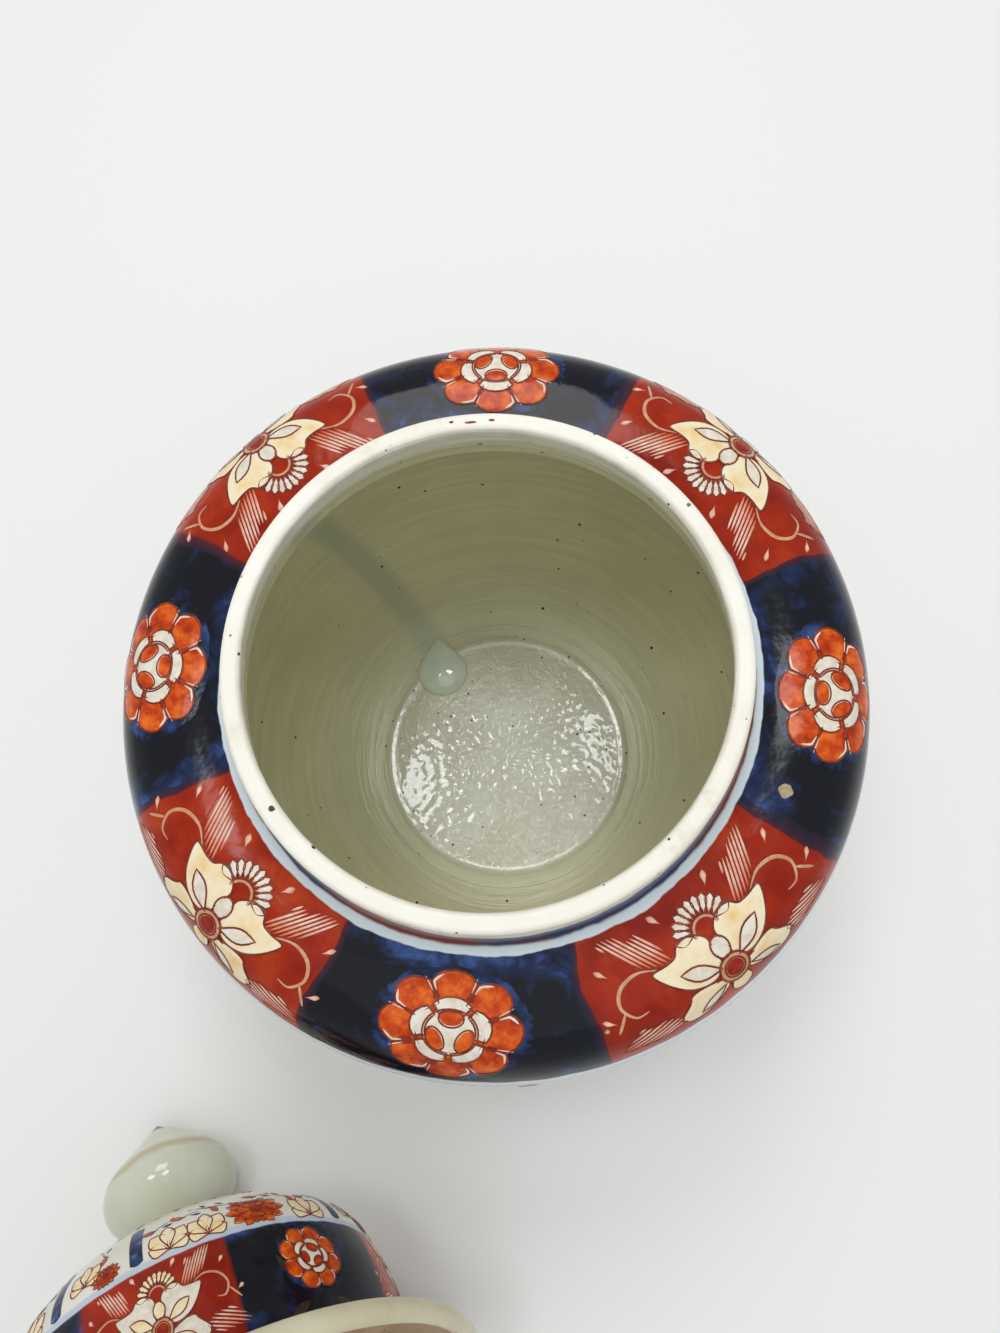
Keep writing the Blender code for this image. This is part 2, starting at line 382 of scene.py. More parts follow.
PANELS_START, PANELS_STOP = (0.0646, 0.0650), (0.1206, 0.1210)
BLUE_POOLS = ((0.1165, 0.1215), (0.1312, 0.1365))
NECK_LINE, BARE_RIM = (0.1346, 0.1386), (0.1389, 0.1395)
COBALT_LINES = ((0.1158, 0.1166), (0.0205, 0.0215), (0.0085, 0.0165))
body = Recipe("painted_glaze")
spot = body.place(JAR_SEAT)
x, y, z = body.parts(spot)
radius = body.radius(x, y)
wobble = body.waver(spot, 70.0, 0.010)
turns = body.sum("FRACT", body.plus(turned_by(body, x, y, PANEL_EDGES), body.plus(wobble, 1.0)))
on_cobalt = panel_share(body, turns, PANEL_EDGES, 0.5)
ring_near = body.rest_of(body.step(radius, 0.066, 0.071))
cobalt = cobalt_wash(body, spot, body.either(edge_near(body, turns, PANEL_EDGES, 14.0), ring_near))
panels = body.mix(on_cobalt, red_wash(body, spot), cobalt)
off_edge = body.sum("ABSOLUTE", body.minus(panel_share(body, turns, PANEL_EDGES, 0.9), 0.5))
edge_line = body.rest_of(body.step(off_edge, 0.34, 0.46))
panels = body.mix(body.times(edge_line, 0.8), panels, paint(0.010, 0.012, 0.028))
# where the panels start and stop, down the shoulder, and the white ground round them
drift = body.waver(spot, 160.0, 0.0016)
height = body.plus(z, drift)
painted = body.times(body.step(body.plus(radius, drift), *PANELS_START), body.step(height, *PANELS_STOP))
uneven = body.step(body.noise(spot, 40.0, 3.0), 0.35, 0.7)
ground = body.mix(uneven, paint(0.74, 0.76, 0.71), paint(0.68, 0.71, 0.67))
pooled = body.either(*[body.band(z, low, high, 0.0006) for low, high in BLUE_POOLS])
ground = body.mix(body.times(pooled, 0.75), ground, paint(0.56, 0.66, 0.72))
skin = body.mix(painted, ground, panels)
# a brown-black painted line round the foot of the neck
neck_line = body.times(body.band(height, *NECK_LINE, 0.0005), body.rest_of(painted))
patchy = body.step(body.noise(spot, 22.0, 2.0), 0.45, 0.55)
skin = body.mix(neck_line, skin, body.mix(patchy, paint(0.20, 0.055, 0.035), paint(0.04, 0.06, 0.12)))
# under the panels a fine line, and near the foot a cobalt border with another above it
cloudy = cobalt_wash(body, spot, 0.55)
steady = body.plus(z, body.times(drift, 0.3))
for low, high in COBALT_LINES:
    skin = body.mix(body.band(steady, low, high, 0.0002), skin, cloudy)


def clay(recipe, spot, radius):
    """Bare fired clay, cream with buff stains and soiled along both edges of the rim."""
    stain = recipe.noise(spot, 55.0, 5.0, 0.65)
    soiled = recipe.ramp(stain, (0.30, 0.88, 0.87, 0.80), (0.60, 0.82, 0.79, 0.69), (0.80, 0.62, 0.53, 0.38))
    pits = recipe.either(recipe.specks(spot, 210.0, 0.14, 0.20), recipe.specks(spot, 520.0, 0.12, 0.22))
    edges = recipe.rest_of(recipe.band(radius, 0.0560, 0.0594, 0.0006))
    worn = recipe.times(edges, recipe.step(recipe.noise(spot, 90.0, 4.0, 0.6), 0.40, 0.70))
    soiled = recipe.mix(recipe.times(worn, 0.4), soiled, paint(0.55, 0.44, 0.29))
    return recipe.mix(pits, soiled, paint(0.20, 0.12, 0.06))


rim_share = body.step(height, *BARE_RIM)
skin = body.mix(rim_share, skin, clay(body, spot, radius))
skin = body.mix(body.specks(spot, 150.0, 0.06, 0.16), skin, paint(0.10, 0.06, 0.03))
roughness = body.plus(0.10, body.times(rim_share, 0.42))
body.fire(skin, roughness, 0.17, body.bump(body.noise(spot, 120.0), 0.00012))

# Inside, a thin grey-green glaze shows the throwing rings, iron specks and one run of
# thicker, greener glaze; the mouth keeps a bare cream band where the cover's collar sits.
RUN_AZIMUTH, RUN_LEAN, RUN_WIDTH, BARE_MOUTH = 1.967, 2.55, 0.0025, (0.1375, 0.1415)
inside = Recipe("inner_glaze")
spot = inside.place(JAR_SEAT)
x, y, z = inside.parts(spot)
radius = inside.radius(x, y)
rings_at = inside.tree.nodes.new("ShaderNodeCombineXYZ")
inside.feed(rings_at.inputs["X"], inside.times(x, 0.05))
inside.feed(rings_at.inputs["Y"], inside.times(y, 0.05))
inside.feed(rings_at.inputs["Z"], inside.plus(z, inside.times(radius, 0.5)))
rings = inside.noise(rings_at.outputs[0], 420.0, 4.0, 0.6)
cloud = inside.noise(spot, 28.0, 4.0)
glaze = inside.ramp(inside.plus(inside.times(cloud, 0.5), inside.times(rings, 0.5)),
                    (0.36, 0.63, 0.615, 0.40), (0.62, 0.75, 0.73, 0.50))
run_angle = inside.plus(RUN_AZIMUTH, inside.times(z, RUN_LEAN))
off_run = inside.times(inside.minus(inside.sum("ARCTAN2", y, x), run_angle), radius)
run_width = inside.plus(RUN_WIDTH, inside.times(cloud, 0.004))
beside_run = inside.step(inside.sum("ABSOLUTE", off_run), inside.times(run_width, 0.5),
                         inside.times(run_width, 1.5))
glaze = inside.mix(inside.times(inside.rest_of(beside_run), 0.6), glaze, paint(0.42, 0.50, 0.40))
foot_tone = inside.rest_of(inside.step(z, 0.010, 0.030))
glaze = inside.mix(inside.times(foot_tone, 0.3), glaze, paint(0.66, 0.65, 0.48))
bare = inside.step(inside.plus(z, inside.waver(spot, 30.0, 0.004)), *BARE_MOUTH)
skin = inside.mix(bare, glaze, clay(inside, spot, radius))
iron = inside.either(inside.specks(spot, 120.0, 0.35, 0.11), inside.specks(spot, 260.0, 0.28, 0.18))
skin = inside.mix(iron, skin, paint(0.05, 0.035, 0.02))
roughness = inside.plus(0.22, inside.times(bare, 0.35))
ripple = inside.bump(rings, 0.0005)
inside.fire(skin, roughness, 0.35, inside.bump(inside.noise(spot, 300.0), 0.00006, ripple))

jar.data.materials.append(body.material)
jar.data.materials.append(inside.material)
for face in jar.data.polygons:
    out = face.center - JAR_AXIS
    inward = -face.normal.xy.dot(out.xy.normalized())
    on_wall = inward > 0.2 and out.z > FOOT_DEPTH + 0.002
    under_shoulder = face.normal.z < -0.2 and out.z > BELLY_HEIGHT + 0.01
    on_floor = face.normal.z > 0.5 and out.z < 0.02
    on_rim = face.normal.z > 0.5 and out.z > JAR_HEIGHT - RIM_EDGE / 2
    face.material_index = 1 if on_wall or under_shoulder or on_floor or on_rim else 0
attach(jar, "jar")
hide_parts("jar_body")

# The glaze ran down and settled on the floor as a shining, puckered pool with a raised lip
# and a fine outer ring, and one thick glassy drop hangs at its far edge.
POOL_RADIUS, POOL_DEPTH, POOL_SINK, PUCKER, INSETS = 0.0432, 0.0006, 0.00003, 0.00020, 70
LIP_AT, LIP_WIDTH, LIP_HEIGHT = 0.955, 0.022, 0.00035
TIDE_RADIUS, TIDE_THICKNESS, TIDE_HEIGHT = 0.0468, 0.00035, 0.0104
DROP_RADIUS, DROP_FROM_AXIS, DROP_HEIGHT, DROP_AZIMUTH = 0.0092, 0.0380, 0.0104, math.radians(118)
bpy.ops.mesh.primitive_circle_add(vertices=256, radius=POOL_RADIUS, fill_type="NGON", location=(0, 0, 0))
pool = bpy.context.object
pool.name = "glaze_pool"
bpy.ops.object.mode_set(mode="EDIT")
bpy.ops.mesh.select_all(action="SELECT")
for _ in range(INSETS):
    bpy.ops.mesh.inset(thickness=POOL_RADIUS / (INSETS + 2))
bpy.ops.mesh.poke()
bpy.ops.object.mode_set(mode="OBJECT")
for point in pool.data.vertices:
    out = point.co.xy.length / POOL_RADIUS
    lip = LIP_HEIGHT * math.exp(-((out - LIP_AT) / LIP_WIDTH) ** 2)
    edge = min(1.0, (1 - out) / 0.02)
    calm = 0.35 if out > 0.9 else 0.5 + 0.5 * noise.noise(point.co * 60 + Vector((2, 9, 0)))
    coarse = noise.fractal(point.co * 430, 1.0, 2.0, 3)
    fine = noise.noise(point.co * 900 + Vector((5, 0, 0)))
    point.co.z = edge * (POOL_DEPTH + lip + calm * PUCKER * (0.7 * coarse + 0.3 * fine)) - POOL_SINK
pool.data.transform(Matrix.Translation(JAR_AXIS + Vector((0, 0, FLOOR_HEIGHT))))
bpy.ops.object.shade_smooth()
wet = Recipe("pooled_glaze")
spot = wet.place(JAR_SEAT)
skin = wet.ramp(wet.noise(spot, 60.0, 4.0), (0.35, 0.76, 0.76, 0.61), (0.65, 0.86, 0.87, 0.75))
warm = wet.step(wet.noise(spot, 34.0, 2.0), 0.55, 0.72)
skin = wet.mix(wet.times(warm, 0.4), skin, paint(0.62, 0.54, 0.44))
iron = wet.either(wet.specks(spot, 420.0, 0.42, 0.24), wet.specks(spot, 210.0, 0.30, 0.12))
skin = wet.mix(iron, skin, paint(0.09, 0.07, 0.045))
wet.fire(skin, 0.05, normal=wet.bump(wet.noise(spot, 420.0, 3.0, 0.55, 0.6), 0.00042))
wet.shader.inputs["Coat Weight"].default_value = 1.0
wet.shader.inputs["Coat Roughness"].default_value = 0.02
pool.data.materials.append(wet.material)
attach(pool, "jar")

bpy.ops.mesh.primitive_torus_add(major_radius=TIDE_RADIUS, minor_radius=TIDE_THICKNESS, major_segments=192,
                                 minor_segments=10, location=JAR_AXIS + Vector((0, 0, TIDE_HEIGHT)))
tide_ring = bpy.context.object
tide_ring.name = "glaze_tide_ring"
bpy.ops.object.transform_apply(location=True, rotation=True, scale=True)
bpy.ops.object.shade_smooth()
tide_ring.data.materials.append(wet.material)
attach(tide_ring, "jar")

bpy.ops.mesh.primitive_uv_sphere_add(segments=48, ring_count=24, radius=DROP_RADIUS, location=(0, 0, 0))
drop = bpy.context.object
drop.name = "glaze_drop"
for point in drop.data.vertices:
    lead = max(0.0, point.co.x / DROP_RADIUS) ** 2
    point.co = Vector((point.co.x * (1 + 0.35 * lead), point.co.y * (1 - 0.45 * lead), point.co.z * 0.42))
drop_way = Vector((math.cos(DROP_AZIMUTH), math.sin(DROP_AZIMUTH), 0))
drop_at = JAR_AXIS + DROP_FROM_AXIS * drop_way + Vector((0, 0, DROP_HEIGHT))
drop.data.transform(Matrix.Translation(drop_at) @ Matrix.Rotation(DROP_AZIMUTH - 0.5, 4, "Z"))
bpy.ops.object.shade_smooth()
glass = Recipe("thick_green_glaze")
spot = glass.place(JAR_SEAT)
skin = glass.ramp(glass.noise(spot, 130.0, 2.0), (0.3, 0.74, 0.88, 0.76), (0.7, 0.88, 0.97, 0.86))
glass.fire(skin, 0.03)
glass.shader.inputs["Coat Weight"].default_value = 1.0
glass.shader.inputs["Coat Roughness"].default_value = 0.01
drop.data.materials.append(glass.material)
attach(drop, "jar")

# Overglaze painting is thin enamel that stands a little proud of the glaze. Each touch of
# the brush is drawn flat, in millimetres across a panel and down from the foot of the neck,
# then wrapped on the wall; the touches of one colour are fired together as one piece.
MM = 0.001


def trail(stretches, count):
    """Even samples of a section: distance so far, radius, height, outward normal."""
    points = []
    for start, out, back, end in stretches:
        ends = [Vector((p[0], p[1], 0)) for p in (start, out, back, end)]
        points += [p.xy for p in geometry.interpolate_bezier(*ends, count)][1 if points else 0:]
    rows, far = [], 0.0
    for i, point in enumerate(points):
        if i:
            far += (point - points[i - 1]).length
        way = (points[min(i + 1, len(points) - 1)] - points[max(i - 1, 0)]).normalized()
        rows.append((far, point.x, point.y, -way.y, way.x))
    return rows


def wrapped(rows, seat, middle, shift=0.0, across=1.0, down=1.0):
    """Where a flat touch lands: x mm to the right of an azimuth, s mm down, lift mm proud."""
    marks = [row[0] for row in rows]

    def land(x, s, lift):
        far = (shift + s * down) * MM
        k = min(max(bisect_left(marks, far), 1), len(rows) - 1)
        share = (far - marks[k - 1]) / (marks[k] - marks[k - 1])
        _, r, z, nr, nz = [p + (q - p) * share for p, q in zip(rows[k - 1], rows[k])]
        angle = math.radians(middle) + x * across * MM / max(r, 0.001)
        r, z = r + lift * MM * nr, z + lift * MM * nz
        return seat @ Vector((r * math.cos(angle), r * math.sin(angle), z))
    return land


def curved(points, closed=False, steps=5):
    """A smooth line through given points."""
    n = len(points)
    line = []
    for i in range(n if closed else n - 1):
        if closed:
            p = [points[(i + k) % n] for k in (-1, 0, 1, 2)]
        else:
            p = [points[min(max(i + k, 0), n - 1)] for k in (-1, 0, 1, 2)]
        for j in range(steps):
            t = j / steps
            line.append(tuple(
                b + 0.5 * t * (c - a + t * (2 * a - 5 * b + 4 * c - d + t * (3 * b - a - 3 * c + d)))
                for a, b, c, d in zip(*p)))
    return line if closed else line + [tuple(points[-1])]


def pots():
    """Enamels by name: points, faces and, at each point, how near the touch's edge it is."""
    names = ("cream", "white", "brown", "tendril", "hatch", "orange", "deep", "halo", "blue", "gilt",
             "clay", "dab")
    return {name: {"points": [], "faces": [], "rim": []} for name in names}


class Brush:
    """Lays enamel from the pots on a wall, by the flat measures that land takes."""

    def __init__(self, enamels, land):
        self.enamels = enamels
        self.land = land

    def out_at(self, spot):
        return self.land(*spot, 1) - self.land(*spot, 0)

    def touch(self, name, outline, lift=0.10, rings=3):
        """A filled, slightly domed patch inside a closed outline."""
        colour = self.enamels[name]
        n, first = len(outline), len(colour["points"])
        cx, cs = [sum(p[k] for p in outline) / n for k in (0, 1)]
        out = self.out_at((cx, cs))
        colour["points"].append(self.land(cx, cs, lift))
        colour["rim"].append(0.0)
        for ring in range(1, rings + 1):
            t = ring / rings
            for x, s in outline:
                colour["points"].append(self.land(cx + (x - cx) * t, cs + (s - cs) * t, lift - 0.12 * t ** 4))
                colour["rim"].append(t)
        for i in range(n):
            j = (i + 1) % n
            colour["faces"].append((out, (first, first + 1 + j, first + 1 + i)))
            for ring in range(rings - 1):
                a, b = first + 1 + ring * n, first + 1 + (ring + 1) * n
                colour["faces"].append((out, (a + i, a + j, b + j, b + i)))

    def stroke(self, name, path, width, lift=0.16, closed=False, taper=0.35):
        """A brush line of a width in mm, thinning towards its ends unless it closes."""
        colour = self.enamels[name]
        n, first = len(path), len(colour["points"])
        for i, (x, s) in enumerate(path):
            before = path[i - 1] if closed or i else path[0]
            after = path[(i + 1) % n] if closed or i < n - 1 else path[-1]
            dx, ds = after[0] - before[0], after[1] - before[1]
            size = math.hypot(dx, ds) or 1.0
            part = i / max(n - 1, 1)
            swell = 1.0 if closed else min(1.0, 0.25 + min(part, 1 - part) / max(taper, 0.01))
            half = width * swell / 2
            for side in (-1, 0, 1):
                colour["points"].append(self.land(x - side * half * ds / size, s + side * half * dx / size,
                                                  lift if side == 0 else lift - 0.09))
                colour["rim"].append(part)
        for i in range(n if closed else n - 1):
            a, b = first + 3 * i, first + 3 * ((i + 1) % n)
            out = self.out_at(path[i])
            colour["faces"] += [(out, (a, a + 1, b + 1, b)), (out, (a + 1, a + 2, b + 2, b + 1))]

    def outlined(self, name, outline, line=0.34, lift=0.10):
        """A filled patch with a brown line round it."""
        self.touch(name, outline, lift)
        self.stroke("brown", outline, line, lift + 0.07, closed=True)

    def hatched(self, outline, slope, gap, width):
        """Parallel lines inside a leaf's outline; slope is their direction in degrees."""
        a = math.radians(slope)
        along, beside = (math.cos(a), math.sin(a)), (-math.sin(a), math.cos(a))
        seen = [(p[0] * along[0] + p[1] * along[1], p[0] * beside[0] + p[1] * beside[1]) for p in outline]
        low, high = min(v for _, v in seen), max(v for _, v in seen)
        level = low + gap * 0.6
        while level < high:
            cuts = []
            for (u0, v0), (u1, v1) in zip(seen, seen[1:] + seen[:1]):
                if (v0 - level) * (v1 - level) < 0:
                    cuts.append(u0 + (u1 - u0) * (level - v0) / (v1 - v0))
            cuts.sort()
            for start, end in zip(cuts[::2], cuts[1::2]):
                if end - start > 0.5:
                    path = [(u * along[0] + level * beside[0], u * along[1] + level * beside[1])
                            for u in (start + (end - start) * i / 5 for i in range(6))]
                    self.stroke("hatch", path, width, 0.08, taper=0.3)
            level += gap


def fired(name, colour, material, body_name):
    """All touches of one enamel as one piece, its faces turned outwards."""
    faces = []
    for out, ring in colour["faces"]:
        a, b, c = [colour["points"][i] for i in ring[:3]]
        faces.append(ring if (b - a).cross(c - a).dot(out) > 0 else ring[::-1])
    mesh = bpy.data.meshes.new(name)
    mesh.from_pydata(colour["points"], [], faces)
    rim = mesh.attributes.new("rim", "FLOAT", "POINT")
    rim.data.foreach_set("value", colour["rim"])
    mesh.materials.append(material)
    piece = bpy.data.objects.new(name, mesh)
    bpy.context.collection.objects.link(piece)
    for face in mesh.polygons:
        face.use_smooth = True
    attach(piece, body_name)


def turned(cx, cs, turn, shape):
    """A flat shape turned by degrees and moved to its place."""
    c, s = math.cos(math.radians(turn)), math.sin(math.radians(turn))
    return [(cx + u * c - v * s, cs + u * s + v * c) for u, v in shape]


def oval(cx, cs, rx, rs, turn=0.0, count=20):
    """Closed oval, turned by degrees."""
    angles = [2 * math.pi * i / count for i in range(count)]
    return turned(cx, cs, turn, [(rx * math.cos(t), rs * math.sin(t)) for t in angles])


def petal(cx, cs, turn, length, width, fat=0.62, count=7):
    """Closed petal from its root, pointing along turn in degrees, its widest part at fat."""
    side = []
    for i in range(count + 1):
        t = i / count
        wide = math.sin(math.pi * t ** (math.log(0.5) / math.log(fat)))
        side.append((t * length, wide * width / 2))
    return turned(cx, cs, turn, side + [(u, -v) for u, v in reversed(side[1:-1])])


def enamel(name, *tones, roughness=0.14, size=420.0, rim=None):
    """Overglaze colour, cloudy where the brush left more, and changed towards its edge if asked."""
    recipe = Recipe(name)
    spot = recipe.place(Matrix.Identity(4))
    colour = recipe.ramp(recipe.noise(spot, size, 4.0, 0.6), *tones)
    if rim:
        at_rim = recipe.tree.nodes.new("ShaderNodeAttribute")
        at_rim.attribute_name = "rim"
        low, high, tint = rim
        uneven = recipe.plus(at_rim.outputs["Fac"], recipe.waver(spot, 300.0, 0.5, 3.0))
        colour = recipe.mix(recipe.step(uneven, low, high), colour, paint(*tint))
    recipe.fire(colour, roughness, 0.18, recipe.bump(recipe.noise(spot, 900.0, 2.0), 0.00003))
    return recipe.material


ENAMELS = {
    "cream": enamel("cream_enamel", (0.40, 0.80, 0.70, 0.48), (0.58, 0.78, 0.60, 0.32),
                    (0.76, 0.74, 0.46, 0.17), size=200.0, rim=(0.55, 1.1, (0.82, 0.74, 0.55))),
    "white": enamel("white_enamel", (0.40, 0.74, 0.70, 0.60), (0.65, 0.62, 0.55, 0.44)),
    "brown": enamel("brown_line", (0.40, 0.14, 0.020, 0.008), (0.65, 0.27, 0.048, 0.018)),
    "tendril": enamel("tendril_line", (0.40, 0.50, 0.24, 0.13), (0.65, 0.60, 0.36, 0.22)),
    "hatch": enamel("hatch_line", (0.40, 0.72, 0.55, 0.44), (0.65, 0.64, 0.36, 0.25),
                    rim=(0.35, 1.0, (0.58, 0.20, 0.11))),
    "orange": enamel("orange_enamel", (0.36, 0.34, 0.022, 0.002), (0.50, 0.54, 0.062, 0.004),
                     (0.66, 0.72, 0.150, 0.016), size=240.0, rim=(0.82, 1.15, (0.62, 0.11, 0.020))),
    "deep": enamel("deep_red_enamel", (0.40, 0.22, 0.012, 0.004), (0.65, 0.34, 0.028, 0.008)),
    "halo": enamel("halo_blue", (0.44, *cobalt_dark), (0.55, 0.012, 0.026, 0.085), (0.72, 0.04, 0.09, 0.28),
                   roughness=0.10, size=150.0, rim=(0.93, 1.12, cobalt_dark)),
    "blue": enamel("underglaze_blue", (0.36, 0.010, 0.014, 0.035), (0.52, 0.022, 0.042, 0.12),
                   (0.70, 0.10, 0.17, 0.36), roughness=0.10, size=320.0),
    "gilt": enamel("worn_gilt", (0.36, 0.030, 0.022, 0.018), (0.60, 0.050, 0.030, 0.020), roughness=0.28),
    "clay": enamel("bare_spot", (0.40, 0.50, 0.42, 0.28), (0.60, 0.34, 0.26, 0.15), roughness=0.7,
                   size=700.0, rim=(0.7, 1.1, (0.12, 0.09, 0.06))),
}
ENAMELS["dab"] = ENAMELS["deep"]


def fire_all(enamels, prefix, body_name):
    """A piece of each enamel that was used."""
    for name, colour in enamels.items():
        if colour["faces"]:
            fired(prefix + name + "_touches", colour, ENAMELS[name], body_name)


def mirrored(side, points, middle=0.0):
    return [(side * x + middle, s) for x, s in points]


def facing(side, turn):
    return turn if side > 0 else 180 - turn


def polar(cx, cs, far, turn):
    a = math.radians(turn)
    return (cx + far * math.cos(a), cs + far * math.sin(a))


def flower_spray(brush, wing, bud, fan):
    """The spray on each red panel: a blossom with two wings, a half chrysanthemum above it,
    striped leaves in the corners and tendrils at both sides."""
    for side in (-1, 1):
        leaf = mirrored(side, [(9.5, 12.4), (11.0, 7.6), (12.6, 4.0), (15.0, 4.6), (17.0, 2.6), (21.6, 2.6),
                               (19.2, 6.8), (17.4, 10.2), (13.0, 12.6)])
        brush.hatched(curved(leaf, True, 3), 90 + side * 27, 1.0, 0.64)
        rib = mirrored(side, [(9.6, 12.3), (14.5, 12.2), (18.2, 9.6), (21.4, 3.0)])
        brush.stroke("brown", curved(rib, steps=4), 0.22, 0.10)
        tendril = mirrored(side, [(13.4, 13.2), (18.0, 11.6), (23.0, 13.2), (25.6, 17.0), (24.0, 20.4),
                                  (20.8, 20.2)])
        brush.stroke("tendril", curved(tendril, steps=6), 0.76, 0.12)
        curl = mirrored(side, [(25.4, 18.4), (27.6, 20.8), (29.4, 22.8)])
        brush.stroke("tendril", curved(curl, steps=4), 0.62, 0.12)
        for cx, cs, turn, size in ((6.4, 5.6, -60, 4.2), (23.4, 10.4, -50, 3.6), (28.2, 20.4, -30, 3.4)):
            brush.touch("hatch", petal(side * cx, cs, facing(side, turn), size, size * 0.44, 0.7), 0.08)
        low_leaf = mirrored(side, [(15.4, 27.4), (19.0, 24.6), (22.6, 24.8), (25.0, 24.2), (31.0, 29.6),
                                   (26.0, 30.4), (20.5, 30.6)])
        low_leaf = curved(low_leaf, True, 3)
        brush.hatched(low_leaf, 90 - side * 70, 1.1, 0.56)
        brush.stroke("brown", low_leaf, 0.16, 0.09, closed=True)
    for i in range(11):
        turn = -172 + 16.4 * i
        brush.outlined(fan, petal(*polar(0.6, 12.0, 3.2, turn), turn, 4.7, 2.2), 0.34, 0.08)
    for name, far, width, lift in (("tendril", 3.0, 0.60, 0.16), ("brown", 3.39, 0.22, 0.2)):
        arc = [polar(0.6, 12.2, far, turn) for turn in range(-185, 6, 10)]
        brush.stroke(name, arc, width, lift, taper=0.05)
    for side in (-1, 1):
        low_wing = mirrored(side, [(1.8, 25.0), (7.0, 22.6), (11.4, 22.4), (13.2, 24.4), (16.4, 27.6),
                                   (14.6, 30.6), (10.6, 30.6), (6.0, 28.6)], 0.4)
        brush.outlined(wing, curved(low_wing, True, 4), 0.46, 0.09)
        brush.outlined(bud, petal(side * 3.6 + 0.4, 25.4, facing(side, 25), 9.0, 2.4, 0.55), 0.40, 0.2)
        high_wing = mirrored(side, [(1.9, 20.8), (1.6, 17.0), (1.2, 13.2), (4.2, 10.6), (7.6, 10.9),
                                    (9.4, 12.7), (12.0, 13.2), (15.9, 13.6), (13.8, 18.0),
                                    (10.2, 21.4), (5.6, 22.6)], 0.4)
        brush.outlined(wing, curved(high_wing, True, 4), 0.48, 0.14)
        brush.outlined(bud, petal(side * 2.4 + 0.4, 21.2, facing(side, -27), 9.6, 3.7, 0.56), 0.46, 0.24)
    brush.outlined(bud, oval(0.4, 16.9, 2.15, 2.7), 0.42, 0.26)
    foot = [(-1.4, 26.0), (1.9, 26.0), (3.1, 29.4), (0.4, 31.6), (-2.4, 29.4)]
    brush.outlined(wing, curved(foot, True, 4), 0.3, 0.16)
    brush.outlined("tendril", oval(0.4, 23.0, 3.9, 3.7), 0.50, 0.32)
    brush.outlined("deep", oval(0.4, 23.0, 2.6, 2.5), 0.46, 0.38)


def roundel(brush, cx, cs, rx, rs, tilt=0.0):
    """The round flower on each cobalt panel: eight red lobes, five white ones, a white heart
    with three red ovals."""
    def at(turn, far):
        a = math.radians(turn + tilt)
        return (cx + rx * far * math.cos(a), cs + rs * far * math.sin(a))

    def disc(far, count):
        return [at(360 / count * i, far) for i in range(count)]

    def sector(turn, half, inner, outer, bulge):
        """Closed lobe between two radii, its outer edge bulging."""
        shape = [at(turn + half * k / 3, inner) for k in range(-3, 4)]
        for k in range(3, -4, -1):
            shape.append(at(turn + half * (k / 3) * 1.02, outer + bulge * (1 - abs(k / 3) ** 2.2)))
        return shape

    brush.touch("halo", [at(6 * i, 1.12 + 0.025 * math.sin(i)) for i in range(60)], 0.10, 12)
    brush.touch("deep", disc(0.90, 60), 0.16, 8)
    for turn in range(-90, 270, 45):
        lobe = sector(turn, 21.9, 0.48, 0.85, 0.15)
        brush.touch("orange", lobe, 0.22)
        brush.stroke("brown", lobe, 0.46, 0.30, closed=True)
        for side, lean, broad in ((-1, 5, 0.034), (1, -4, 0.0153)):
            sliver = [at(turn + side * 20.5, 0.70), at(turn + side * 19.5, 0.84),
                      at(turn + side * (15 - lean), 0.935)]
            brush.stroke("white", curved(sliver), broad * rx, 0.24, taper=0.4)
    brush.touch("orange", disc(0.56, 36), 0.27, 5)
    for turn in range(-90, 270, 72):
        brush.outlined("white", sector(turn, 31.0, 0.35, 0.51, 0.07), 0.44, 0.33)
    brush.outlined("white", disc(0.385, 30), 0.42, 0.36)
    for turn in range(0, 360, 120):
        brush.outlined("orange", oval(*at(turn - 90, 0.235), 0.175 * rx, 0.115 * rx, turn + tilt), 0.40, 0.42)


def blossom(brush, cs, wide, high):
    """A half-open flower: petals that open to both sides in front of each other."""
    for turn, long, broad, lift in ((160, 0.50, 0.36, 0.08), (20, 0.50, 0.36, 0.08), (125, 0.68, 0.44, 0.14),
                                    (55, 0.68, 0.44, 0.14), (90, 0.72, 0.36, 0.20)):
        brush.outlined("cream", petal(0, cs - 0.40 * high, turn, wide * long, wide * broad), 0.36, lift)


def red_chrysanthemum(brush, cs, wide, high):
    """Two rows of pointed red petals round a small heart."""
    for ring, count, reach in ((0, 14, 1.0), (1, 9, 0.66)):
        for i in range(count):
            turn = 360 * i / count + 9 * ring
            a = math.radians(turn)
            far = reach * math.hypot(wide / 2 * math.cos(a), high / 2 * math.sin(a))
            brush.outlined("orange", petal(0, cs, turn, far, wide * 0.17, 0.68), 0.28, 0.08 + 0.06 * ring)
    brush.outlined("deep", oval(0, cs, wide * 0.09, wide * 0.08), 0.2, 0.22)


def sprig(brush, cs, turn, size):
    """A short cobalt stem with a blue leaf, a red leaf and a bud."""
    stem = turned(0, cs, turn, [(-size, 0), (0, 0.2 * size), (size, 0)])
    brush.stroke("blue", curved(stem), 0.17 * size, 0.06)
    brush.touch("blue", petal(0, cs, turn - 38, 1.3 * size, 0.5 * size, 0.55), 0.06)
    red_leaf = petal(*polar(0, cs, -0.3 * size, turn), turn + 140, 1.3 * size, 0.55 * size, 0.58)
    brush.outlined("orange", red_leaf, 0.20, 0.09)
    brush.touch("orange", petal(*stem[2], turn + 15, 0.8 * size, 0.35 * size, 0.6), 0.08)


def middles(edges):
    """Azimuths of the middles of the red panels, then of the cobalt ones."""
    closed = edges + (edges[0] + 360,)
    halves = [(first + last) / 2 for first, last in zip(closed, closed[1:])]
    return halves[1::2], halves[::2]


outer_trail = trail([SHOULDER_LINE, BELLY_LINE], 160)
jar_enamels = pots()


